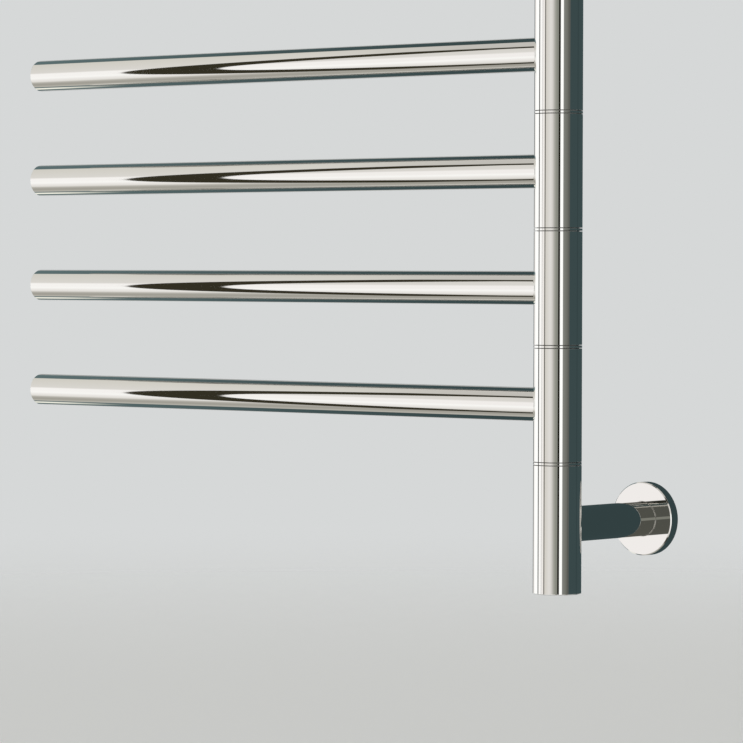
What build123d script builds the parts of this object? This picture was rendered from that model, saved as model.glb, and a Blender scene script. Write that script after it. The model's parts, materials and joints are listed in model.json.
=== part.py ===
from build123d import *
import math
import os

# Wall-hung electric towel warmer: four heated arms that swivel on one upright column.
# Millimetres, +Z up. The wall is the plane y = 0 and the room is on its -Y side.
# The origin is the centre of the lower wall plate, on the wall. At rest the arms point along -X.

# ---- Driving dimensions -------------------------------------------------------------------

arm_count = 4
arm_pitch = 100.0  # height from one arm to the next
arm_length = 630.0  # column axis to the closed tip of an arm
arm_d = 29.0
arm_wall = 1.5
column_d = 41.5
column_wall = 2.5  # wall of the swivelling sleeves
mast_d = 32.0  # fixed tube inside the column
mast_wall = 2.0
wall_to_column = 130.0  # wall face to column axis
bracket_d = 30.5
bracket_wall = 2.0
bracket_to_joint = 53.0  # bracket axis to the nearest spacer ring
bracket_to_end = 58.5  # bracket axis to the closed end of the column
ring_h = 2.0  # visible height of a spacer ring
groove_h = 0.6  # shadow gap above and below each ring
rosette_d = 64.5
rosette_t = 10.0

# ---- Smaller sizes ------------------------------------------------------------------------

edge_break = 0.15  # on the meeting edges of sleeves and rings
end_round = 0.5  # on the closed ends of the column
tip_round = 0.5  # on the closed ends of the arms
column_cap_t = 3.0
arm_cap_t = 2.0
cap_spigot = 8.0  # how far a cap reaches into its tube

bush_h = 20.0
bush_play = 0.05  # running clearance, on the radius, between bush and mast
thrust_gap = 0.05
hub_play = 0.05

stop_pin_d = 3.0
stop_pin_reach = 1.6  # how far a pin stands out of the mast
stop_pin_rise = 30.2  # above the arm's axis
stop_slot_h = 4.0
stop_play = 0.4

window_h = 14.0  # opening in the mast that an arm's lead swings through
window_play = 3.5
lead_d = 3.2
lead_hole_d = 14.0
lead_bend_r = 18.0
lead_drop = 24.0  # from an arm's axis to the end of its lead on the mast axis
lead_row_y = 6.0  # the fixed leads run down behind the mast axis
lead_columns = (-2.0, 2.0, -6.0, 6.0)  # x of each fixed lead, lowest arm first

heater_d = 10.0
heater_start = 80.0  # column axis to the cold end of a heating element
heater_length = 480.0
heater_disc_d = 25.8
heater_disc_t = 2.0
heater_disc_inset = 40.0

saddle_t = 8.0  # mast surface to the back of the bracket saddle
saddle_hole_d = 10.0
saddle_screw_z = 9.0
saddle_screw_d = 4.0
saddle_screw_play = 0.4
screw_head_d = 7.0
screw_head_t = 2.5
mast_cable_hole_d = 12.0
bracket_hole_d = 31.1

wall_plate_d = 59.0
wall_plate_t = 4.0
stub_d = 26.4
stub_bore_d = 20.0
stub_length = 14.0
wall_hole_d = 5.5
wall_hole_spacing = 44.0
rosette_rim_t = 2.0
rosette_face_t = 1.5
rosette_play = 0.15
rosette_bevel = 0.8

grub_d = 5.0
grub_length = 5.0
grub_from_wall = 14.0
grub_socket_af = 2.5
grub_socket_depth = 2.0

inlet_d = 14.0
grommet_bore_d = 9.0
grommet_flange_d = 18.0
grommet_flange_t = 1.5

junction_w, junction_depth, junction_h = 16.0, 7.5, 22.0
junction_foot = 24.0
feed_d = 5.0
feed_bend_r = 18.0
feed_y = 4.5
terminal_w, terminal_length, terminal_h = 14.0, 18.0, 13.5
terminal_from_wall = 22.0
terminal_top = 3.0
terminal_screw_d = 3.0
terminal_screw_depth = 1.2
terminal_poles = 3
block_corner_r = 1.0
branch_start_run = 8.0
branch_slant_drop = 18.0
earth_x = -9.0
earth_lead_d = 2.5
earth_bend_r = 30.0
earth_bend_y = (-88.0, -60.0)
earth_end_x, earth_end_z = -4.0, -6.0

# ---- Worked out from them -----------------------------------------------------------------

column_r = column_d / 2
mast_r = mast_d / 2
mast_bore_r = mast_r - mast_wall
sleeve_bore_r = column_r - column_wall
arm_r = arm_d / 2
bracket_r = bracket_d / 2
bracket_bore_r = bracket_r - bracket_wall
joint_half = ring_h / 2 + groove_h  # ring centre to the end of the sleeve beside it
sleeve_h = arm_pitch - 2 * joint_half
joint_z = [bracket_to_joint + n * arm_pitch for n in range(arm_count + 1)]
arm_z = [z + arm_pitch / 2 for z in joint_z[:-1]]
top_bracket_z = joint_z[-1] + bracket_to_joint
foot_z = -bracket_to_end
crown_z = top_bracket_z + bracket_to_end
saddle_back_y = mast_r + saddle_t  # from the column axis

os.makedirs("parts", exist_ok=True)


def save(piece, node):
    """Label a finished piece and write it as one STEP file."""
    piece.part.label = node
    export_step(piece.part, f"parts/{node}.step")


def level(z):
    """Horizontal plane on the column axis."""
    return Plane(origin=(0, -wall_to_column, z))


def to_wall(z, x=0.0):
    """Plane on the column axis that faces the wall: its local z is +Y and its local x is +X."""
    return Plane(origin=(x, -wall_to_column, z), x_dir=(1, 0, 0), z_dir=(0, 1, 0))


def from_wall(z):
    """Plane on the wall that faces the room: its local z is -Y and its local x is +X."""
    return Plane(origin=(0, 0, z), x_dir=(1, 0, 0), z_dir=(0, -1, 0))


def along_arm(z):
    """Plane on the column axis that faces the arm's tip: its local z is -X."""
    return Plane(origin=(0, -wall_to_column, z), x_dir=(0, 1, 0), z_dir=(-1, 0, 0))


def round_edges(piece, radius):
    """The circular edges of this radius."""
    return piece.edges().filter_by(GeomType.CIRCLE).filter_by(lambda e: abs(e.radius - radius) < 0.01)


# ---- Mast: the fixed tube that carries everything -----------------------------------------

mast_foot = foot_z + column_cap_t
mast_crown = crown_z - column_cap_t

with BuildPart() as mast_tube:
    with BuildSketch(level(mast_foot)):
        Circle(mast_r)
        Circle(mast_bore_r, mode=Mode.SUBTRACT)
    extrude(amount=mast_crown - mast_foot)
    # half-round windows, open to the front, for the leads of the swivelling arms
    for z in arm_z:
        with BuildSketch(level(z - window_h / 2)):
            with Locations((0, window_play)):
                Rectangle(2 * mast_d, mast_d, align=(Align.CENTER, Align.MAX))
        extrude(amount=window_h, mode=Mode.SUBTRACT)
    # holes in the back for the stop pins
    for z in arm_z:
        with BuildSketch(to_wall(z + stop_pin_rise)):
            Circle(stop_pin_d / 2)
        extrude(amount=mast_d, mode=Mode.SUBTRACT)
    # threaded holes for the bracket screws
    for z in (0.0, top_bracket_z):
        with BuildSketch(to_wall(z)):
            with Locations((0, saddle_screw_z), (0, -saddle_screw_z)):
                Circle(saddle_screw_d / 2)
        extrude(amount=mast_d, mode=Mode.SUBTRACT)
    # cable hole at the lower bracket
    with BuildSketch(to_wall(0.0)):
        Circle(mast_cable_hole_d / 2)
    extrude(amount=mast_d, mode=Mode.SUBTRACT)
save(mast_tube, "mast_tube")

# one pin behind each arm, in the back of the mast
with BuildPart() as swivel_stop_pins:
    for z in arm_z:
        with BuildSketch(to_wall(z + stop_pin_rise).offset(mast_bore_r)):
            Circle(stop_pin_d / 2)
        extrude(amount=mast_wall + stop_pin_reach)
save(swivel_stop_pins, "swivel_stop_pins")

# ---- Fixed ends of the column -------------------------------------------------------------

end_section_h = joint_z[0] - joint_half - mast_foot

for name, low_z, bracket_z in (
    ("lower", mast_foot, 0.0),
    ("upper", mast_crown - end_section_h, top_bracket_z),
):
    with BuildPart() as end_section:
        with BuildSketch(level(low_z)):
            Circle(column_r)
            Circle(mast_r, mode=Mode.SUBTRACT)
        extrude(amount=end_section_h)
        ring_side = Axis.Z if name == "lower" else -Axis.Z
        chamfer(round_edges(end_section, column_r).sort_by(ring_side)[-1], edge_break)
        with BuildSketch(to_wall(bracket_z)):
            Circle(bracket_hole_d / 2)
        extrude(amount=column_d, mode=Mode.SUBTRACT)
    save(end_section, f"{name}_end_section")

for name, end_z, inward in (("lower", foot_z, 1), ("upper", crown_z, -1)):
    with BuildPart() as end_cap:
        with BuildSketch(level(end_z)):
            Circle(column_r)
        extrude(amount=inward * column_cap_t)
        with BuildSketch(level(end_z + inward * column_cap_t)):
            Circle(mast_bore_r)
        extrude(amount=inward * cap_spigot)
        outward = Axis.Z if inward < 0 else -Axis.Z
        fillet(round_edges(end_cap, column_r).sort_by(outward)[-1], end_round)
    save(end_cap, f"{name}_end_cap")

# Each spacer ring stands on a narrower hub, which leaves the shadow gaps beside it.
for number, z in enumerate(joint_z, start=1):
    with BuildPart() as spacer_ring:
        with BuildSketch(level(z - ring_h / 2)):
            Circle(column_r)
        extrude(amount=ring_h)
        chamfer(round_edges(spacer_ring, column_r), edge_break)
        with BuildSketch(level(z - joint_half)):
            Circle(sleeve_bore_r - hub_play)
        extrude(amount=2 * joint_half)
        with BuildSketch(level(z - joint_half)):
            Circle(mast_r)
        extrude(amount=2 * joint_half, mode=Mode.SUBTRACT)
    save(spacer_ring, f"spacer_ring_{number}")

# ---- Wall brackets ------------------------------------------------------------------------

for name, z in (("lower", 0.0), ("upper", top_bracket_z)):
    carries_cable = name == "lower"

    # tube from the wall plate to the mast, coped to the mast, with a tapped hole underneath
    with BuildPart() as bracket_tube:
        with BuildSketch(from_wall(z).offset(wall_plate_t)):
            Circle(bracket_r)
            Circle(bracket_bore_r, mode=Mode.SUBTRACT)
        extrude(amount=wall_to_column - wall_plate_t)
        with BuildSketch(level(z - bracket_d)):
            Circle(mast_r)
        extrude(amount=2 * bracket_d, mode=Mode.SUBTRACT)
        # what is left on the room side of the mast
        with BuildSketch(level(z - bracket_d)):
            Rectangle(2 * mast_d, mast_d, align=(Align.CENTER, Align.MAX))
        extrude(amount=2 * bracket_d, mode=Mode.SUBTRACT)
        with BuildSketch(Plane(origin=(0, -grub_from_wall, z))):
            Circle(grub_d / 2)
        extrude(amount=-bracket_d, mode=Mode.SUBTRACT)
    save(bracket_tube, f"{name}_bracket_tube")

    # block welded inside the tube's end, which the screws draw against the mast
    with BuildPart() as bracket_saddle:
        with BuildSketch(to_wall(z)):
            Circle(bracket_bore_r)
        extrude(amount=saddle_back_y)
        with BuildSketch(level(z - bracket_d)):
            Circle(mast_r)
        extrude(amount=2 * bracket_d, mode=Mode.SUBTRACT)
        with BuildSketch(to_wall(z)):
            with Locations((0, saddle_screw_z), (0, -saddle_screw_z)):
                Circle((saddle_screw_d + saddle_screw_play) / 2)
            if carries_cable:
                Circle(saddle_hole_d / 2)
                with Locations((earth_x, 0)):
                    Circle(saddle_screw_d / 2)
        extrude(amount=column_d, mode=Mode.SUBTRACT)
    save(bracket_saddle, f"{name}_bracket_saddle")

    # plate screwed to the wall, with a stub that the tube slides over
    with BuildPart() as wall_plate:
        with BuildSketch(from_wall(z)):
            Circle(wall_plate_d / 2)
        extrude(amount=wall_plate_t)
        with BuildSketch(from_wall(z).offset(wall_plate_t)):
            Circle(stub_d / 2)
            Circle(stub_bore_d / 2, mode=Mode.SUBTRACT)
        extrude(amount=stub_length)
        with BuildSketch(from_wall(z)):
            with GridLocations(wall_hole_spacing, 0, 2, 1):
                Circle(wall_hole_d / 2)
            if carries_cable:
                Circle(inlet_d / 2)
        extrude(amount=wall_plate_t, mode=Mode.SUBTRACT)
        with BuildSketch(Plane(origin=(0, -grub_from_wall, z))):
            Circle(grub_d / 2)
        extrude(amount=-bracket_d, mode=Mode.SUBTRACT)
    save(wall_plate, f"{name}_wall_plate")

    # round cover that slides along the tube and hides the plate and its screws
    with BuildPart() as rosette:
        with BuildSketch(from_wall(z)):
            Circle(rosette_d / 2)
        extrude(amount=rosette_t)
        chamfer(round_edges(rosette, rosette_d / 2).sort_by(Axis.Y)[0], rosette_bevel)
        with BuildSketch(from_wall(z)):
            Circle(rosette_d / 2 - rosette_rim_t)
        extrude(amount=rosette_t - rosette_face_t, mode=Mode.SUBTRACT)
        with BuildSketch(from_wall(z)):
            Circle(bracket_r + rosette_play)
        extrude(amount=rosette_t, mode=Mode.SUBTRACT)
    save(rosette, f"{name}_rosette")

# two screws hold each saddle to the mast
with BuildPart() as saddle_screws:
    for z in (0.0, top_bracket_z):
        for side in (1, -1):
            with BuildSketch(to_wall(z + side * saddle_screw_z).offset(mast_bore_r)):
                Circle(saddle_screw_d / 2)
            extrude(amount=saddle_back_y - mast_bore_r)
            with BuildSketch(to_wall(z + side * saddle_screw_z).offset(saddle_back_y)):
                Circle(screw_head_d / 2)
            extrude(amount=screw_head_t)
save(saddle_screws, "saddle_screws")

# a hexagon-socket grub screw locks each tube on its stub, from underneath
with BuildPart() as bracket_grub_screws:
    for z in (0.0, top_bracket_z):
        grub_face = Plane(
            origin=(0, -grub_from_wall, z - bracket_r + edge_break), x_dir=(1, 0, 0), z_dir=(0, 0, 1)
        )
        with BuildSketch(grub_face):
            Circle(grub_d / 2)
        extrude(amount=grub_length)
        with BuildSketch(grub_face):
            RegularPolygon(grub_socket_af / 2, 6, major_radius=False)
        extrude(amount=grub_socket_depth, mode=Mode.SUBTRACT)
save(bracket_grub_screws, "bracket_grub_screws")

# ---- Swivelling arms ----------------------------------------------------------------------

for number, z in enumerate(arm_z, start=1):
    sleeve_foot = z - sleeve_h / 2

    with BuildPart() as sleeve:
        with BuildSketch(level(sleeve_foot)):
            Circle(column_r)
            Circle(sleeve_bore_r, mode=Mode.SUBTRACT)
        extrude(amount=sleeve_h)
        chamfer(round_edges(sleeve, column_r), edge_break)
        with BuildSketch(along_arm(z)):
            Circle(lead_hole_d / 2)
        extrude(amount=column_d, mode=Mode.SUBTRACT)
    save(sleeve, f"arm_{number}_sleeve")

    # straight tube, coped to the sleeve
    with BuildPart() as bar:
        with BuildSketch(along_arm(z).offset(column_r / 2)):
            Circle(arm_r)
            Circle(arm_r - arm_wall, mode=Mode.SUBTRACT)
        extrude(amount=arm_length - arm_cap_t - column_r / 2)
        with BuildSketch(level(z - arm_d)):
            Circle(column_r)
        extrude(amount=2 * arm_d, mode=Mode.SUBTRACT)
    save(bar, f"arm_{number}_bar")

    with BuildPart() as tip_cap:
        with BuildSketch(along_arm(z).offset(arm_length - arm_cap_t)):
            Circle(arm_r)
        extrude(amount=arm_cap_t)
        fillet(round_edges(tip_cap, arm_r).sort_by(Axis.X)[0], tip_round)
        with BuildSketch(along_arm(z).offset(arm_length - arm_cap_t)):
            Circle(arm_r - arm_wall)
        extrude(amount=-cap_spigot)
    save(tip_cap, f"arm_{number}_tip_cap")

    # plain bearing bushes pressed into both ends of the sleeve
    with BuildPart() as lower_bush:
        with BuildSketch(level(sleeve_foot + thrust_gap)):
            Circle(sleeve_bore_r)
            Circle(mast_r + bush_play, mode=Mode.SUBTRACT)
        extrude(amount=bush_h)
    save(lower_bush, f"arm_{number}_lower_bush")

    # the upper one has a half-round slot, whose ends meet the stop pin at both limits
    upper_bush_foot = sleeve_foot + sleeve_h - thrust_gap - bush_h
    with BuildPart() as upper_bush:
        with BuildSketch(level(upper_bush_foot)):
            Circle(sleeve_bore_r)
            Circle(mast_r + bush_play, mode=Mode.SUBTRACT)
        extrude(amount=bush_h)
        with BuildSketch(level(upper_bush_foot)):
            with Locations((-stop_pin_d / 2 - stop_play, 0)):
                Rectangle(column_d, 2 * column_d, align=(Align.MIN, Align.CENTER))
        extrude(amount=stop_slot_h, mode=Mode.SUBTRACT)
    save(upper_bush, f"arm_{number}_upper_bush")

    # sheathed heating element, held in the middle of the tube by two discs
    with BuildPart() as heater:
        with BuildSketch(along_arm(z).offset(heater_start)):
            Circle(heater_d / 2)
        extrude(amount=heater_length)
        for reach in (heater_disc_inset, heater_length - heater_disc_inset):
            with BuildSketch(along_arm(z).offset(heater_start + reach)):
                Circle(heater_disc_d / 2)
            extrude(amount=heater_disc_t)
    save(heater, f"arm_{number}_heater")

    # its lead comes back along the tube and turns down the mast axis, where it can twist
    with BuildPart() as lead:
        with BuildLine() as lead_route:
            FilletPolyline(
                (-heater_start, -wall_to_column, z),
                (0, -wall_to_column, z),
                (0, -wall_to_column, z - lead_drop),
                radius=lead_bend_r,
            )
        with BuildSketch(Plane(origin=lead_route.line @ 0, z_dir=lead_route.line % 0)):
            Circle(lead_d / 2)
        sweep()
    save(lead, f"arm_{number}_lead")

# ---- Fixed wiring inside the mast and the lower bracket -----------------------------------

junction_y = lead_row_y - wall_to_column
junction_top = junction_foot + junction_h

with BuildPart() as junction_block:
    with BuildSketch(Plane(origin=(0, junction_y, junction_foot))):
        RectangleRounded(junction_w, junction_depth, block_corner_r)
    extrude(amount=junction_h)
save(junction_block, "junction_block")

for number, z in enumerate(arm_z, start=1):
    column_x = lead_columns[number - 1]
    start_z = z - lead_drop
    slant_top = start_z - branch_start_run
    slant_foot = slant_top - branch_slant_drop
    corners = (
        Vector(0, -wall_to_column, start_z),
        Vector(0, -wall_to_column, slant_top),
        Vector(column_x, junction_y, slant_foot),
        Vector(column_x, junction_y, junction_top),
    )
    turn = (corners[1] - corners[0]).get_angle(corners[2] - corners[1])
    shorter_run = min((b - a).length for a, b in zip(corners, corners[1:]))
    bend_r = 0.45 * shorter_run / math.tan(math.radians(turn / 2))
    print(f"branch lead {number}: bend radius {bend_r:.1f} mm")
    with BuildPart() as branch_lead:
        with BuildLine() as branch_route:
            FilletPolyline(*corners, radius=bend_r)
        with BuildSketch(Plane(origin=branch_route.line @ 0, z_dir=branch_route.line % 0)):
            Circle(lead_d / 2)
        sweep()
    save(branch_lead, f"branch_lead_{number}")

terminal_front = -terminal_from_wall - terminal_length
terminal_middle = terminal_front + terminal_length / 2

with BuildPart() as feed_lead:
    with BuildLine() as feed_route:
        FilletPolyline(
            (0, feed_y - wall_to_column, junction_foot),
            (0, feed_y - wall_to_column, 0),
            (0, terminal_front, 0),
            radius=feed_bend_r,
        )
    with BuildSketch(Plane(origin=feed_route.line @ 0, z_dir=feed_route.line % 0)):
        Circle(feed_d / 2)
    sweep()
save(feed_lead, "feed_lead")

# block where the installer joins the supply, with a row of screws on top
with BuildPart() as terminal_block:
    with BuildSketch(Plane(origin=(0, terminal_middle, terminal_top - terminal_h))):
        RectangleRounded(terminal_w, terminal_length, block_corner_r)
    extrude(amount=terminal_h)
    with BuildSketch(Plane(origin=(0, terminal_middle, terminal_top))):
        with GridLocations(terminal_w / terminal_poles, terminal_length / 2, terminal_poles, 2):
            Circle(terminal_screw_d / 2)
    extrude(amount=-terminal_screw_depth, mode=Mode.SUBTRACT)
save(terminal_block, "terminal_block")

with BuildPart() as earth_screw:
    with BuildSketch(to_wall(0.0, earth_x).offset(mast_r)):
        Circle(saddle_screw_d / 2)
    extrude(amount=saddle_t)
    with BuildSketch(to_wall(0.0, earth_x).offset(saddle_back_y)):
        Circle(screw_head_d / 2)
    extrude(amount=screw_head_t)
save(earth_screw, "earth_screw")

with BuildPart() as earth_lead:
    with BuildLine() as earth_route:
        FilletPolyline(
            (earth_x, saddle_back_y + screw_head_t - wall_to_column, 0),
            (earth_x, earth_bend_y[0], 0),
            (earth_end_x, earth_bend_y[1], earth_end_z),
            (earth_end_x, terminal_front, earth_end_z),
            radius=earth_bend_r,
        )
    with BuildSketch(Plane(origin=earth_route.line @ 0, z_dir=earth_route.line % 0)):
        Circle(earth_lead_d / 2)
    sweep()
save(earth_lead, "earth_lead")

# soft bush in the wall plate, where the supply cable comes out of the wall
with BuildPart() as cable_grommet:
    with BuildSketch(from_wall(0.0)):
        Circle(inlet_d / 2)
    extrude(amount=wall_plate_t)
    with BuildSketch(from_wall(0.0).offset(wall_plate_t)):
        Circle(grommet_flange_d / 2)
    extrude(amount=grommet_flange_t)
    with BuildSketch(from_wall(0.0)):
        Circle(grommet_bore_d / 2)
    extrude(amount=wall_plate_t + grommet_flange_t, mode=Mode.SUBTRACT)
save(cable_grommet, "cable_grommet")
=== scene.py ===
import bpy
import bmesh
import json
import math
from mathutils import Matrix, Vector


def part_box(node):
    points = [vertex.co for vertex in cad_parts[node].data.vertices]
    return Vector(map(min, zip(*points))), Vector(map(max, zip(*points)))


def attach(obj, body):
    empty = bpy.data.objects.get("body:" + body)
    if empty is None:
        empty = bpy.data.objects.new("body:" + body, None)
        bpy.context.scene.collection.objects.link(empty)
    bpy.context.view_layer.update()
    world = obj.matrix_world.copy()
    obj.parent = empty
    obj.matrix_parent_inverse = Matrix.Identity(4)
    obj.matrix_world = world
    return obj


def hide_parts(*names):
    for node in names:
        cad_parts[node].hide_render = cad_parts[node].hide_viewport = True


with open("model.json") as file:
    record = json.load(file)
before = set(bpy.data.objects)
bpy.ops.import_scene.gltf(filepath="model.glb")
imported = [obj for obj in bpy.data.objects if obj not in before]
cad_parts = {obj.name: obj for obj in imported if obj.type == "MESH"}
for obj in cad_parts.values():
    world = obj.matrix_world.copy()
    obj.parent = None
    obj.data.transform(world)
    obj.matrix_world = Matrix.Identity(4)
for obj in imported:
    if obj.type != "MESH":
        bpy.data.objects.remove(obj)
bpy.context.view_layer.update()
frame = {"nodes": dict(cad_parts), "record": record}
nodes = frame["nodes"]
arms = (1, 2, 3, 4)
rings = (1, 2, 3, 4, 5)

# ---- Sizes, in metres, from the CAD ---------------------------------------------------------

MM = 0.001


def low(node):
    return Vector(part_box(node)[0])


def high(node):
    return Vector(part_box(node)[1])


def middle_z(node):
    return (low(node).z + high(node).z) / 2


column_wall = 2.5 * MM
arm_wall = 1.5 * MM
bracket_wall = 2.0 * MM
running_gap = 0.05 * MM  # between the mast, the spacer rings' hubs and the sleeves
bracket_hole_gap = 0.3 * MM
rosette_hole_gap = 0.15 * MM

wall_to_column = (low("arm_1_sleeve").y + high("arm_1_sleeve").y) / 2
column_r = high("arm_1_sleeve").x
mast_r = high("mast_tube").x
sleeve_bore_r = column_r - column_wall
hub_r = sleeve_bore_r - running_gap
arm_r = (high("arm_1_bar").z - low("arm_1_bar").z) / 2
arm_bore_r = arm_r - arm_wall
bracket_r = (high("lower_bracket_tube").z - low("lower_bracket_tube").z) / 2
bracket_bore_r = bracket_r - bracket_wall
bracket_hole_r = bracket_r + bracket_hole_gap
lead_hole_r = 7.0 * MM
rosette_r = high("lower_rosette").x
rosette_hole_r = bracket_r + rosette_hole_gap
joint_z = [middle_z(f"spacer_ring_{k}") for k in rings]
tip_x = low("arm_1_tip_cap").x


def srgb(*display):
    """Linear colour of a display colour given as red, green and blue from 0 to 255."""
    linear = []
    for c in display:
        linear.append(((c / 255 + 0.055) / 1.055) ** 2.4 if c > 10 else c / 255 / 12.92)
    return (*linear, 1.0)


nickel = (0.80, 0.785, 0.755)


# ---- Node helpers ---------------------------------------------------------------------------


class Nodes:
    """Short calls for building one node tree."""

    def __init__(self, tree):
        self.tree = tree
        tree.nodes.clear()

    def add(self, kind, **values):
        node = self.tree.nodes.new(kind)
        for key, value in values.items():
            setattr(node, key, value)
        return node

    def link(self, a, b):
        self.tree.links.new(a, b)

    def put(self, socket, value):
        """Links the socket to the value if that is an output, or else sets it."""
        if hasattr(value, "is_output"):
            self.link(value, socket)
        else:
            socket.default_value = value

    def math(self, operation, *values):
        node = self.add("ShaderNodeMath", operation=operation)
        for socket, value in zip(node.inputs, values):
            self.put(socket, value)
        return node.outputs[0]

    def product(self, first, *others):
        for other in others:
            first = self.math("MULTIPLY", first, other)
        return first

    def smooth(self, value, bottom, top, start=0.0, end=1.0):
        """Goes smoothly from start to end while the value goes from bottom to top."""
        node = self.add("ShaderNodeMapRange", interpolation_type="SMOOTHSTEP")
        self.put(node.inputs["Value"], value)
        node.inputs["From Min"].default_value = bottom
        node.inputs["From Max"].default_value = top
        node.inputs["To Min"].default_value = start
        node.inputs["To Max"].default_value = end
        return node.outputs["Result"]

    def fall(self, value, bottom, top):
        """Goes smoothly from 1 to 0 while the value goes from bottom to top."""
        return self.smooth(value, bottom, top, 1.0, 0.0)

    def window(self, value, bottom, top, soft):
        """1 while the value is between bottom and top, with soft edges, or else 0."""
        rise = self.smooth(value, bottom - soft, bottom + soft)
        return self.product(rise, self.fall(value, top - soft, top + soft))

    def mix(self, factor, a, b):
        """Colour a where the factor is 0, and b where it is 1."""
        node = self.add("ShaderNodeMix", data_type="RGBA")
        colours = [socket for socket in node.inputs if socket.type == "RGBA"]
        self.put(node.inputs[0], factor)
        self.put(colours[0], a)
        self.put(colours[1], b)
        return [socket for socket in node.outputs if socket.type == "RGBA"][0]

    def ramp(self, value, stops, bottom, top):
        """Colour by a value from bottom to top; stops are (value, colour), in order."""
        at = self.math("DIVIDE", self.math("SUBTRACT", value, bottom), top - bottom)
        node = self.add("ShaderNodeValToRGB")
        elements = node.color_ramp.elements
        elements.remove(elements[1])
        elements[0].position = (stops[0][0] - bottom) / (top - bottom)
        elements[0].color = stops[0][1]
        for where, colour in stops[1:]:
            element = elements.new((where - bottom) / (top - bottom))
            element.color = colour
        self.link(at, node.inputs[0])
        return node.outputs[0]


# ---- Studio: what the metal mirrors, by direction -------------------------------------------
#
# Polished metal shows little but its surroundings. A direction is told by:
#   azimuth     round the object: 0 to the front, 90 along the arms, in degrees
#   elevation   over or under the horizontal, in degrees
#   tilt        over or under the horizontal as seen along the wall: 0 to the front, 180 to the wall
#   reach       how far it points along the arms, from -1 to 1

world = bpy.data.worlds.new("studio")
bpy.context.scene.world = world
world.use_nodes = True
n = Nodes(world.node_tree)
coordinates = n.add("ShaderNodeTexCoord")
split = n.add("ShaderNodeSeparateXYZ")
n.link(coordinates.outputs["Generated"], split.inputs[0])
x, y, z = split.outputs
reach = n.math("MULTIPLY", x, -1.0)
frontward = n.math("MULTIPLY", y, -1.0)
in_degrees = math.degrees(1)
azimuth = n.math("MULTIPLY", n.math("ARCTAN2", reach, frontward), in_degrees)
elevation = n.math("MULTIPLY", n.math("ARCSINE", z), in_degrees)
tilt = n.math("MULTIPLY", n.math("ARCTAN2", z, frontward), in_degrees)
height = n.math("ABSOLUTE", elevation)
steepness = n.math("ABSOLUTE", tilt)

white = srgb(255, 255, 252)
wall_level = srgb(57, 72, 73)
wall_far = srgb(50, 64, 65)
room_shade = srgb(86, 87, 81)
room_dark = srgb(46, 46, 40)
ink = srgb(28, 27, 20)
bow_dark = srgb(50, 47, 35)

# Level with the object: the room all the way round, by azimuth.
around = n.ramp(
    azimuth,
    [
        (-180, wall_level),
        (-96, wall_level),
        (-93.5, srgb(88, 89, 85)),
        (-80, srgb(110, 111, 104)),
        (-62, srgb(130, 131, 125)),
        (-60.8, white),
        (-46.5, white),
        (-40, srgb(129, 130, 123)),
        (-29, srgb(141, 142, 132)),
        (-20, srgb(168, 167, 159)),
        (-9, srgb(212, 208, 203)),
        (0, srgb(222, 219, 214)),
        (27, srgb(206, 202, 193)),
        (34, srgb(228, 224, 218)),
        (36.5, srgb(239, 235, 232)),
        (41, srgb(241, 238, 234)),
        (50, srgb(249, 247, 244)),
        (68, white),
        (92, white),
        (112, srgb(226, 220, 214)),
        (120, wall_level),
        (180, wall_level),
    ],
    -180.0,
    180.0,
)
dark_lines = ((-47.4, -38.6), (25.6, 29.8), (61.8, 68.4))
for start, end in dark_lines:
    around = n.mix(n.window(azimuth, start, end, 0.3), around, ink)

# Above and below, in front: by tilt.
across = n.ramp(
    tilt,
    [
        (-96, srgb(190, 186, 177)),
        (-88, srgb(176, 173, 164)),
        (-80, srgb(166, 163, 153)),
        (-70, srgb(158, 155, 146)),
        (-60, srgb(170, 167, 158)),
        (-52, srgb(190, 187, 179)),
        (-46, srgb(222, 219, 213)),
        (-30, srgb(236, 233, 229)),
        (-20, srgb(247, 246, 242)),
        (0, srgb(247, 245, 242)),
        (10, srgb(237, 233, 229)),
        (20, srgb(216, 213, 207)),
        (40, srgb(213, 210, 203)),
        (96, srgb(206, 203, 193)),
    ],
    -180.0,
    180.0,
)

# Behind: the wall, lighter further along the arms, with its pale end, and pale light elsewhere.
wall = n.ramp(
    reach,
    [
        (0.0, wall_far),
        (0.63, srgb(54, 69, 70)),
        (0.67, srgb(64, 80, 81)),
        (0.72, srgb(92, 110, 111)),
        (1.0, srgb(110, 128, 129)),
    ],
    0.0,
    1.0,
)
pale = n.ramp(
    z,
    [
        (-1.0, srgb(90, 91, 88)),
        (-0.5, srgb(120, 121, 117)),
        (-0.3, srgb(158, 157, 152)),
        (-0.24, srgb(236, 234, 230)),
        (0.05, srgb(250, 249, 246)),
        (0.16, srgb(238, 236, 232)),
        (0.2, srgb(88, 88, 83)),
        (0.27, srgb(96, 96, 90)),
        (0.31, srgb(206, 204, 199)),
        (0.6, srgb(180, 180, 176)),
        (1.0, srgb(222, 221, 218)),
    ],
    -1.0,
    1.0,
)
walled = n.product(n.smooth(reach, -0.35, -0.1), n.fall(steepness, 140.0, 156.0))
behind = n.mix(walled, pale, wall)
wall_end = n.product(n.smooth(reach, 0.698, 0.714), n.window(tilt, -125.0, -106.0, 3.0))
behind = n.mix(wall_end, behind, srgb(238, 236, 222))

off_axis = n.mix(n.smooth(steepness, 93.5, 96.5), across, behind)
reflected = n.mix(n.smooth(height, 5.0, 14.0), around, off_axis)

# What the wall brackets mirror: the wall, and by way of the rosettes the dark side of the room.
toward_wall = n.window(y, 0.765, 0.825, 0.008)
reflected = n.mix(toward_wall, reflected, wall_far)
toward_room = n.product(
    n.window(y, -0.835, -0.765, 0.008),
    n.smooth(x, -0.58, -0.54),
    n.smooth(height, 4.8, 5.2),
)
overhead = n.product(n.fall(x, -0.2, -0.08), n.smooth(z, 0.0, 0.1))
reflected = n.mix(toward_room, reflected, n.mix(overhead, room_shade, room_dark))

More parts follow.
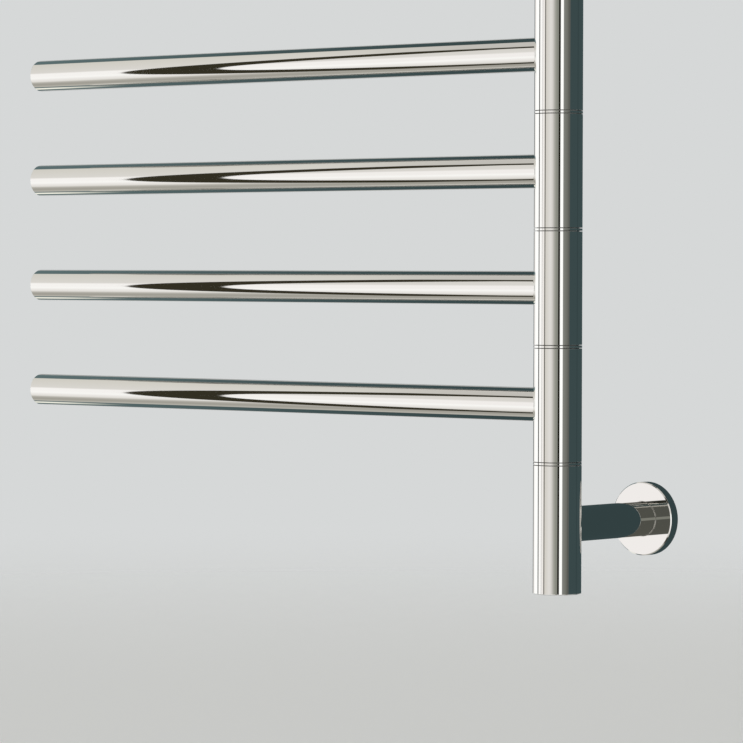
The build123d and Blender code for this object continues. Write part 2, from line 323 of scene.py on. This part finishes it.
# A dimmer patch high up, which the tops of the arms mirror next to the column.
dimmed = n.product(
    n.fall(reach, 0.63, 0.665),
    n.window(tilt, 55.0, 94.0, 1.5),
    n.smooth(height, 5.0, 14.0),
)
reflected = n.mix(dimmed, reflected, srgb(192, 189, 182))

# The dark bow between two lights, which makes the long thin wedges on the arms. Its two edges are
# curves of the reach against the tilt from the bow's middle.
bow_middle = -4.7
arms_least_reach = 0.628
from_middle = n.math("SUBTRACT", tilt, bow_middle)
square = n.math("MULTIPLY", from_middle, from_middle)


def beyond_edge(at_middle, bend, flare):
    """How far the reach is past an edge of the bow, which is at at_middle in the bow's middle."""
    bent = n.math("MULTIPLY", square, n.math("ADD", bend, n.math("MULTIPLY", square, flare)))
    edge_reach = n.math("SUBTRACT", at_middle, bent)
    return n.math("SUBTRACT", n.math("MAXIMUM", reach, arms_least_reach), edge_reach)


soft = 0.0007
in_bow = n.product(
    n.smooth(beyond_edge(0.682, 1.45e-5, 3.0e-9), -soft, soft),
    n.fall(beyond_edge(0.6998, 1.17e-5, 8.0e-10), -soft, soft),
    n.smooth(tilt, -67.0, -62.0),
    n.fall(tilt, 54.0, 58.0),
)
reflected = n.mix(in_bow, reflected, bow_dark)

# The colours above are as the nickel shows them, so its own colour is divided out.
balance = n.add("ShaderNodeVectorMath", operation="MULTIPLY")
n.put(balance.inputs[0], reflected)
balance.inputs[1].default_value = [1 / c for c in nickel]
studio = n.add("ShaderNodeBackground")
n.link(balance.outputs[0], studio.inputs["Color"])
backdrop = n.add("ShaderNodeBackground")
backdrop.inputs["Color"].default_value = srgb(214, 216, 216)
path = n.add("ShaderNodeLightPath")
either = n.add("ShaderNodeMixShader")
n.link(path.outputs["Is Camera Ray"], either.inputs[0])
n.link(studio.outputs[0], either.inputs[1])
n.link(backdrop.outputs[0], either.inputs[2])
out = n.add("ShaderNodeOutputWorld")
n.link(either.outputs[0], out.inputs["Surface"])

bpy.context.scene.view_settings.view_transform = "Standard"

# ---- Materials ------------------------------------------------------------------------------

fine_relief = 0.01 * MM
soft_relief = 0.02 * MM
rough_relief = 0.03 * MM


def material(name, colour, roughness, metallic=0.0):
    """A principled material; returns it with its node helper and its shader node."""
    made = bpy.data.materials.new(name)
    made.use_nodes = True
    n = Nodes(made.node_tree)
    shader = n.add("ShaderNodeBsdfPrincipled")
    out = n.add("ShaderNodeOutputMaterial")
    n.link(shader.outputs[0], out.inputs["Surface"])
    shader.inputs["Base Color"].default_value = colour
    shader.inputs["Roughness"].default_value = roughness
    shader.inputs["Metallic"].default_value = metallic
    made.diffuse_color = colour
    return made, n, shader


def noise(n, scale, detail, stretch=(1, 1, 1)):
    """Noise in object space, with scale waves to the metre."""
    place = n.add("ShaderNodeTexCoord")
    mapping = n.add("ShaderNodeMapping")
    mapping.inputs["Scale"].default_value = stretch
    n.link(place.outputs["Object"], mapping.inputs["Vector"])
    made = n.add("ShaderNodeTexNoise")
    made.inputs["Scale"].default_value = scale
    made.inputs["Detail"].default_value = detail
    n.link(mapping.outputs[0], made.inputs["Vector"])
    return made.outputs["Fac"]


def bump(n, shader, height, distance):
    made = n.add("ShaderNodeBump")
    made.inputs["Strength"].default_value = 1.0
    made.inputs["Distance"].default_value = distance
    n.link(height, made.inputs["Height"])
    n.link(made.outputs[0], shader.inputs["Normal"])


def speckled(name, colour, other, roughness, scale, metallic=0.0, relief=0.0, stretch=(1, 1, 1)):
    """A material whose colour and roughness vary a little, with a fine relief if asked."""
    colour, other = (*colour, 1), (*other, 1)
    made, n, shader = material(name, colour, roughness, metallic)
    grain = noise(n, scale, 6.0, stretch)
    n.put(shader.inputs["Base Color"], n.mix(n.smooth(grain, 0.35, 0.65), colour, other))
    patches = noise(n, scale * 0.3, 3.0, stretch)
    varied = n.smooth(patches, 0.3, 0.7, roughness * 0.8, roughness * 1.25)
    n.put(shader.inputs["Roughness"], varied)
    if relief:
        bump(n, shader, grain, relief)
    return made


def polished(name, stretch):
    """Polished nickel: a mirror with the faintest clouds, and polishing lines along one axis."""
    made, n, shader = material(name, (*nickel, 1.0), 0.02, 1.0)
    cloud = noise(n, 14.0, 3.0)
    darker = [c * 0.985 for c in nickel] + [1.0]
    lighter = [c * 1.015 for c in nickel] + [1.0]
    n.put(shader.inputs["Base Color"], n.mix(cloud, darker, lighter))
    lined = n.smooth(noise(n, 900.0, 2.0, stretch), 0.3, 0.75, 0.010, 0.016)
    clouded = n.smooth(cloud, 0.45, 0.75, 0.0, 0.008)
    n.put(shader.inputs["Roughness"], n.math("ADD", lined, clouded))
    return made


nickel_arm = polished("polished_nickel_arm", (1.0, 0.03, 0.03))
nickel_column = polished("polished_nickel_column", (0.03, 0.03, 1.0))
nickel_bracket = polished("polished_nickel_bracket", (0.03, 1.0, 0.03))

inner_steel = speckled(
    "inner_steel",
    (0.42, 0.42, 0.41),
    (0.50, 0.50, 0.49),
    roughness=0.34,
    scale=260,
    metallic=1.0,
    relief=fine_relief,
    stretch=(1, 1, 0.05),
)
zinc = speckled(
    "zinc_hardware",
    (0.60, 0.60, 0.58),
    (0.68, 0.67, 0.62),
    roughness=0.26,
    scale=700,
    metallic=1.0,
    relief=fine_relief,
)
sheath = speckled(
    "heater_sheath",
    (0.46, 0.44, 0.41),
    (0.54, 0.52, 0.48),
    roughness=0.38,
    scale=400,
    metallic=1.0,
    relief=fine_relief,
    stretch=(0.06, 1, 1),
)
black_plastic = speckled(
    "bush_plastic",
    (0.018, 0.018, 0.02),
    (0.03, 0.03, 0.032),
    roughness=0.42,
    scale=1500,
    relief=soft_relief,
)
white_plastic = speckled(
    "terminal_plastic",
    (0.74, 0.73, 0.69),
    (0.79, 0.78, 0.74),
    roughness=0.45,
    scale=1200,
    relief=soft_relief,
)
silicone = speckled(
    "lead_silicone",
    (0.30, 0.06, 0.035),
    (0.36, 0.085, 0.05),
    roughness=0.5,
    scale=900,
    relief=soft_relief,
)
brass = speckled(
    "earth_brass",
    (0.78, 0.57, 0.27),
    (0.86, 0.66, 0.34),
    roughness=0.3,
    scale=600,
    metallic=1.0,
    relief=fine_relief,
)
# painted shade: a near-black material for the faces inside the gaps and bores, where shade falls
groove_painted_shade = speckled(
    "groove_shadow",
    (0.03, 0.03, 0.028),
    (0.045, 0.045, 0.042),
    roughness=0.45,
    scale=900,
    metallic=1.0,
)
rubber = speckled(
    "grommet_rubber",
    (0.016, 0.016, 0.017),
    (0.026, 0.026, 0.027),
    roughness=0.62,
    scale=1300,
    relief=rough_relief,
)

# green insulation with a yellow stripe in slanting bands
green = (0.05, 0.28, 0.07, 1)
yellow = (0.80, 0.66, 0.05, 1)
stripe_rate = 900.0  # radians to the metre
striped, n, shader = material("earth_insulation", green, 0.45)
place = n.add("ShaderNodeTexCoord")
parts = n.add("ShaderNodeSeparateXYZ")
n.link(place.outputs["Object"], parts.inputs[0])
along = n.math("ADD", parts.outputs["X"], parts.outputs["Z"])
wave = n.math("SINE", n.math("MULTIPLY", along, stripe_rate))
n.put(shader.inputs["Base Color"], n.mix(n.smooth(wave, 0.15, 0.25), green, yellow))
bump(n, shader, noise(n, 900, 4.0), soft_relief)

by_slot = {
    "polished_metal": nickel_column,
    "inner_steel": inner_steel,
    "hardware_steel": zinc,
    "heater_sheath": sheath,
    "bush_plastic": black_plastic,
    "terminal_plastic": white_plastic,
    "lead_silicone": silicone,
    "earth_insulation": striped,
    "earth_brass": brass,
    "grommet_rubber": rubber,
}
slot_of = {row["node"]: row["material_slot"] for row in frame["record"]["subparts"]}
for name, obj in nodes.items():
    chosen = by_slot[slot_of[name]]
    if not obj.material_slots:
        obj.data.materials.append(chosen)
    for material_slot in obj.material_slots:
        material_slot.material = chosen

# ---- Mesh helpers ---------------------------------------------------------------------------

ROUND = 192  # segments round a tube
round_steps = 5
cut_length = 40.0 * MM


def add_object(name, mesh):
    obj = bpy.data.objects.new(name, mesh)
    bpy.context.scene.collection.objects.link(obj)
    return obj


def add_piece(node, shape, look, body, cut=None, dark=None):
    """Makes the piece that stands for a CAD node, smooth shaded with its sharp edges kept.

    shape is its vertices and faces, cut a round hole as start, end and radius, and dark tells
    from a face's middle whether it gets the dark groove material, which is painted shade.
    """
    name = f"{node}_skin"
    mesh = bpy.data.meshes.new(name)
    mesh.from_pydata([tuple(v) for v in shape[0]], [], shape[1])
    work = bmesh.new()
    work.from_mesh(mesh)
    bmesh.ops.remove_doubles(work, verts=work.verts, dist=1e-7)
    bmesh.ops.recalc_face_normals(work, faces=work.faces)
    work.to_mesh(mesh)
    work.free()
    piece = add_object(name, mesh)
    mesh.materials.append(look)
    # faces inside the gaps and bores get the dark material, which is painted shade
    if dark:
        mesh.materials.append(groove_painted_shade)
        for face in mesh.polygons:
            face.material_index = int(dark(face.center))
    if cut:
        bore(piece, *cut)
    mesh = piece.data
    mesh.shade_smooth()
    mesh.set_sharp_from_angle(angle=math.radians(28.0))
    if cut:
        round_normals(mesh)
    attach(piece, body)
    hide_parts(node)


def bore(piece, start, end, radius):
    """Cuts a round hole through the piece, from start to end."""
    start, end = Vector(start), Vector(end)
    turn = (end - start).to_track_quat("Z", "Y").to_matrix().to_4x4()
    work = bmesh.new()
    bmesh.ops.create_cone(
        work,
        cap_ends=True,
        segments=ROUND,
        radius1=radius,
        radius2=radius,
        depth=(end - start).length,
        matrix=Matrix.Translation((start + end) / 2) @ turn,
    )
    mesh = bpy.data.meshes.new("cutter")
    work.to_mesh(mesh)
    work.free()
    cutter = add_object("cutter", mesh)
    change = piece.modifiers.new("bore", "BOOLEAN")
    change.operation = "DIFFERENCE"
    change.solver = "EXACT"
    change.object = cutter
    state = bpy.context.evaluated_depsgraph_get()
    piece.data = bpy.data.meshes.new_from_object(piece.evaluated_get(state))
    piece.modifiers.clear()
    bpy.data.objects.remove(cutter)


def round_normals(mesh):
    """Gives the walls of a tube about the column's axis their exact normals.

    Its reflections then run true, past the long thin faces that the cut leaves.
    """
    normals = [Vector(corner.vector) for corner in mesh.corner_normals]
    for face in mesh.polygons:
        facing = face.normal.dot(from_column(face.center))
        if abs(facing) > 0.99:
            for loop in face.loop_indices:
                exact = from_column(mesh.vertices[mesh.loops[loop].vertex_index].co)
                normals[loop] = exact if facing > 0 else -exact
    mesh.normals_split_custom_set(normals)


def from_column(at):
    """Direction of a point from the column's axis."""
    return Vector((at.x, at.y - wall_to_column, 0)).normalized()


def arc(a, b, t):
    """Point a part t of the way round from a to b, two arms of one length from the centre."""
    angle = a.angle(b)
    if angle < 1e-4:
        return a
    return a * (math.sin((1 - t) * angle) / math.sin(angle)) + b * (math.sin(t * angle) / math.sin(angle))


def rounded(corner, before, after, radius):
    """Points of a small round on a profile corner, with a support point on each side."""
    corner, before, after = Vector(corner), Vector(before), Vector(after)
    to_before = (before - corner).normalized()
    to_after = (after - corner).normalized()
    half = to_before.angle(to_after) / 2
    run = radius / math.tan(half)
    centre = corner + (to_before + to_after).normalized() * (radius / math.sin(half))
    start = corner + to_before * run
    end = corner + to_after * run
    support = 0.6 * radius
    points = [start + to_before * support]
    for step in range(round_steps + 1):
        points.append(centre + arc(start - centre, end - centre, step / round_steps))
    points.append(end + to_after * support)
    return [tuple(p) for p in points]


def profile(corners):
    """Closed profile from corners, each a radius, a height and the size of its round."""
    points = []
    for i, (r, h, size) in enumerate(corners):
        if size:
            after = corners[(i + 1) % len(corners)]
            points += rounded((r, h), corners[i - 1][:2], after[:2], size)
        else:
            points.append((r, h))
    return points


def skinned(rows, closed=True):
    """Vertices and faces of a surface through rows of points that go once round."""
    width = len(rows[0])
    faces = []
    for k in range(len(rows)):
        here = k * width
        there = (k + 1) % len(rows) * width
        for i in range(width if closed else width - 1):
            j = (i + 1) % width
            faces.append((here + i, here + j, there + j, there + i))
    return [point for row in rows for point in row], faces


def turned(corners, place, closed=True):
    """A profile turned about an axis. place(radius, height, angle) gives a point."""
    points = profile(corners)
    rows = []
    for k in range(ROUND):
        angle = 2 * math.pi * k / ROUND
        rows.append([place(r, h, angle) for r, h in points])
    return skinned(rows, closed)


def about_column(r, h, angle):
    return Vector((r * math.cos(angle), wall_to_column + r * math.sin(angle), h))


def about_arm(axis_z):
    def place(r, h, angle):
        return Vector((h, wall_to_column + r * math.cos(angle), axis_z + r * math.sin(angle)))

    return place


def about_bracket(axis_z):
    def place(r, h, angle):
        return Vector((r * math.cos(angle), h, axis_z + r * math.sin(angle)))

    return place


# ---- Column ---------------------------------------------------------------------------------

sleeve_gap = 1.6 * MM  # from the middle of a spacer ring to the sleeves
ring_half = 1.0 * MM
edge = 0.1 * MM


def in_groove(at):
    """True inside the shadow gaps and the bores, whose faces get the dark material as painted shade."""
    return math.hypot(at.x, at.y - wall_to_column) < column_r - 2 * edge


def column_tube(start, end, inner_r, edge_start, edge_end):
    corners = [
        (inner_r, start, 0),
        (column_r, start, edge_start),
        (column_r, end, edge_end),
        (inner_r, end, 0),
    ]
    return turned(corners, about_column)


for k in arms:
    start = joint_z[k - 1] + sleeve_gap
    end = joint_z[k] - sleeve_gap
    middle = (start + end) / 2
    shape = column_tube(start, end, sleeve_bore_r, edge, edge)
    lead_hole = ((0, wall_to_column, middle), (-cut_length, wall_to_column, middle), lead_hole_r)
    add_piece(f"arm_{k}_sleeve", shape, nickel_column, f"arm_{k}", lead_hole, in_groove)

for k in rings:
    at_z = joint_z[k - 1]
    corners = [
        (mast_r + running_gap, at_z - sleeve_gap, 0),
        (hub_r, at_z - sleeve_gap, 0),
        (hub_r, at_z - ring_half, 0),
        (column_r, at_z - ring_half, edge),
        (column_r, at_z + ring_half, edge),
        (hub_r, at_z + ring_half, 0),
        (hub_r, at_z + sleeve_gap, 0),
        (mast_r + running_gap, at_z + sleeve_gap, 0),
    ]
    shape = turned(corners, about_column)
    add_piece(f"spacer_ring_{k}", shape, nickel_column, "column", dark=in_groove)

# the fixed ends of the column, with the hole that the bracket tube goes into, and their caps
end_cap_t = 3.0 * MM
end_round = 0.5 * MM
spigot_length = 8.0 * MM
spigot_edge = 0.3 * MM
end_spigot_r = 14.0 * MM
end_support_r = 12.0 * MM
for name, inward in (("lower", 1), ("upper", -1)):
    section = f"{name}_end_section"
    end_cap = f"{name}_end_cap"
    bracket_z = middle_z(f"{name}_bracket_tube")
    edges = (0, edge) if name == "lower" else (edge, 0)
    shape = column_tube(low(section).z, high(section).z, mast_r, *edges)
    hole_end_y = wall_to_column + cut_length
    bracket_hole = ((0, wall_to_column, bracket_z), (0, hole_end_y, bracket_z), bracket_hole_r)
    add_piece(section, shape, nickel_column, "column", bracket_hole, in_groove)
    closed_z = low(end_cap).z if name == "lower" else high(end_cap).z
    inner_z = closed_z + inward * end_cap_t
    spigot_z = inner_z + inward * spigot_length
    corners = [
        (0, spigot_z, 0),
        (end_spigot_r, spigot_z, spigot_edge),
        (end_spigot_r, inner_z, 0),
        (column_r, inner_z, 0),
        (column_r, closed_z, end_round),
        (end_support_r, closed_z, 0),
        (0, closed_z, 0),
    ]
    shape = turned(corners, about_column, closed=False)
    add_piece(end_cap, shape, nickel_column, "column")

# ---- Arms -----------------------------------------------------------------------------------

cap_t = 2.0 * MM
cap_x = tip_x + cap_t
cap_support = 1.0 * MM
tip_round = 0.4 * MM
tip_spigot_r = 12.95 * MM
tip_support_r = 6.0 * MM
weld_r = 0.5 * MM
weld_steps = 7
weld_foot = 0.03 * MM
weld_supports = [run * MM for run in (0.3, 0.8, 2.0, 8.0, 30.0)]
bore_inset = 0.02 * MM


def arm_bar(axis_z):
    """A tube from the sleeve to the tip cap, with a small weld fillet round its foot."""
    middle = Vector((0, wall_to_column, axis_z))
    rows = []
    for k in range(ROUND):
        angle = 2 * math.pi * k / ROUND
        c, s = math.cos(angle), math.sin(angle)

        # the weld is an arc about a centre that is weld_r from both the sleeve and the arm
        weld_y = (arm_r + weld_r) * c
        weld_x = -math.sqrt((column_r + weld_r) ** 2 - weld_y * weld_y)
        centre = Vector((weld_x, weld_y, (arm_r + weld_r) * s))
        to_sleeve = Vector((-weld_x, -weld_y, 0)).normalized()
        to_arm = Vector((0, -c, -s))

        bore_y, bore_z = arm_bore_r * c, arm_bore_r * s
        bore_x = -math.sqrt(column_r**2 - bore_y * bore_y) + bore_inset
        row = [
            Vector((cap_x, bore_y, bore_z)),
            Vector((bore_x, bore_y, bore_z)),
            centre + to_sleeve * (weld_r + weld_foot),
        ]
        for step in range(weld_steps + 1):
            row.append(centre + arc(to_sleeve, to_arm, step / weld_steps) * weld_r)
        along = [weld_x - run for run in weld_supports] + [cap_x + cap_support, cap_x]
        row += [Vector((at_x, arm_r * c, arm_r * s)) for at_x in along]
        rows.append([point + middle for point in row])
    return skinned(rows)


for k in arms:
    axis_z = (joint_z[k - 1] + joint_z[k]) / 2
    add_piece(f"arm_{k}_bar", arm_bar(axis_z), nickel_arm, f"arm_{k}")
    corners = [
        (0, cap_x + spigot_length, 0),
        (tip_spigot_r, cap_x + spigot_length, spigot_edge),
        (tip_spigot_r, cap_x, 0),
        (arm_r, cap_x, 0),
        (arm_r, tip_x, tip_round),
        (tip_support_r, tip_x, 0),
        (0, tip_x, 0),
    ]
    shape = turned(corners, about_arm(axis_z), closed=False)
    add_piece(f"arm_{k}_tip_cap", shape, nickel_arm, f"arm_{k}")

# ---- Wall brackets --------------------------------------------------------------------------

tube_start_y = -4.0 * MM
tube_supports = [run * MM for run in (0.0, 1.0, 8.0, 60.0)]
end_support = 1.0 * MM
rosette_face_y = -10.0 * MM
rosette_back_y = -0.02 * MM
rosette_bevel = 0.8 * MM
rosette_rim = 2.0 * MM
rosette_inner_y = rosette_face_y + 1.5 * MM


def bracket_tube(axis_z):
    """A tube from inside the rosette to the mast, with its end shaped to the mast's round."""
    place = about_bracket(axis_z)
    rows = []
    for k in range(ROUND):
        angle = 2 * math.pi * k / ROUND
        outer_x = bracket_r * math.cos(angle)
        inner_x = bracket_bore_r * math.cos(angle)
        outer_y = wall_to_column + math.sqrt(mast_r**2 - outer_x**2)
        inner_y = wall_to_column + math.sqrt(mast_r**2 - inner_x**2)
        outside = [tube_start_y - run for run in tube_supports] + [outer_y + end_support, outer_y]
        inside = [inner_y, inner_y + end_support, tube_start_y]
        row = [place(bracket_r, y, angle) for y in outside]
        rows.append(row + [place(bracket_bore_r, y, angle) for y in inside])
    return skinned(rows)


for name in ("lower", "upper"):
    axis_z = middle_z(f"{name}_bracket_tube")
    add_piece(f"{name}_bracket_tube", bracket_tube(axis_z), nickel_bracket, "column")
    corners = [
        (rosette_hole_r, rosette_face_y, 0.25 * MM),
        (rosette_r - rosette_bevel, rosette_face_y, 0.1 * MM),
        (rosette_r, rosette_face_y + rosette_bevel, 0.1 * MM),
        (rosette_r, rosette_back_y, 0.15 * MM),
        (rosette_r - rosette_rim, rosette_back_y, 0),
        (rosette_r - rosette_rim, rosette_inner_y, 0),
        (rosette_hole_r, rosette_inner_y, 0),
    ]
    add_piece(f"{name}_rosette", turned(corners, about_bracket(axis_z)), nickel_bracket, "column")

# ---- Floor, which fades into the background -------------------------------------------------

floor_z = -0.30
floor_r = 9.0
floor_sides = 64
fade_start = 1.2
fade_end = 4.5
rim = []
for k in range(floor_sides):
    angle = 2 * math.pi * k / floor_sides
    rim.append((floor_r * math.cos(angle), floor_r * math.sin(angle), floor_z))
mesh = bpy.data.meshes.new("floor")
mesh.from_pydata(rim, [], [tuple(range(floor_sides))])
floor = add_object("floor", mesh)
floor.visible_glossy = False
made, n, shader = material("pale_floor", srgb(236, 236, 235), 0.9)
mesh.materials.append(made)
place = n.add("ShaderNodeTexCoord")
distance = n.add("ShaderNodeVectorMath", operation="LENGTH")
n.link(place.outputs["Object"], distance.inputs[0])
see_through = n.add("ShaderNodeBsdfTransparent")
blend = n.add("ShaderNodeMixShader")
n.link(n.smooth(distance.outputs["Value"], fade_start, fade_end), blend.inputs[0])
n.link(shader.outputs[0], blend.inputs[1])
n.link(see_through.outputs[0], blend.inputs[2])
out = [node for node in made.node_tree.nodes if node.type == "OUTPUT_MATERIAL"][0]
n.link(blend.outputs[0], out.inputs["Surface"])

# ---- Soft light from above ------------------------------------------------------------------

lamp = bpy.data.lights.new("soft_top", "SUN")
lamp.energy = 0.8
lamp.angle = math.radians(80.0)
top = add_object("soft_top", lamp)
top.rotation_euler = (math.radians(12.0), math.radians(-14.0), 0.0)
top.visible_glossy = False

# ---- Camera ---------------------------------------------------------------------------------

focal_length = 190.35  # mm on a 36 mm sensor
camera_at = Vector((2.0765, -2.7753, 0.2180))
yaw, pitch, roll = 0.7129, 0.0258, -0.0022
level = Vector((-math.sin(yaw), math.cos(yaw), 0.0))
forward = level * math.cos(pitch) - Vector((0.0, 0.0, math.sin(pitch)))
right = Vector((math.cos(yaw), math.sin(yaw), 0.0))
down = forward.cross(right)
camera_x = right * math.cos(roll) + down * math.sin(roll)
camera_y = right * math.sin(roll) - down * math.cos(roll)
facing = Matrix((camera_x, camera_y, -forward)).transposed().to_4x4()
lens = bpy.data.cameras.new("camera")
lens.sensor_width = 36.0
lens.lens = focal_length
lens.dof.use_dof = False
camera = add_object("camera", lens)
camera.matrix_world = Matrix.Translation(camera_at) @ facing
bpy.context.scene.camera = camera
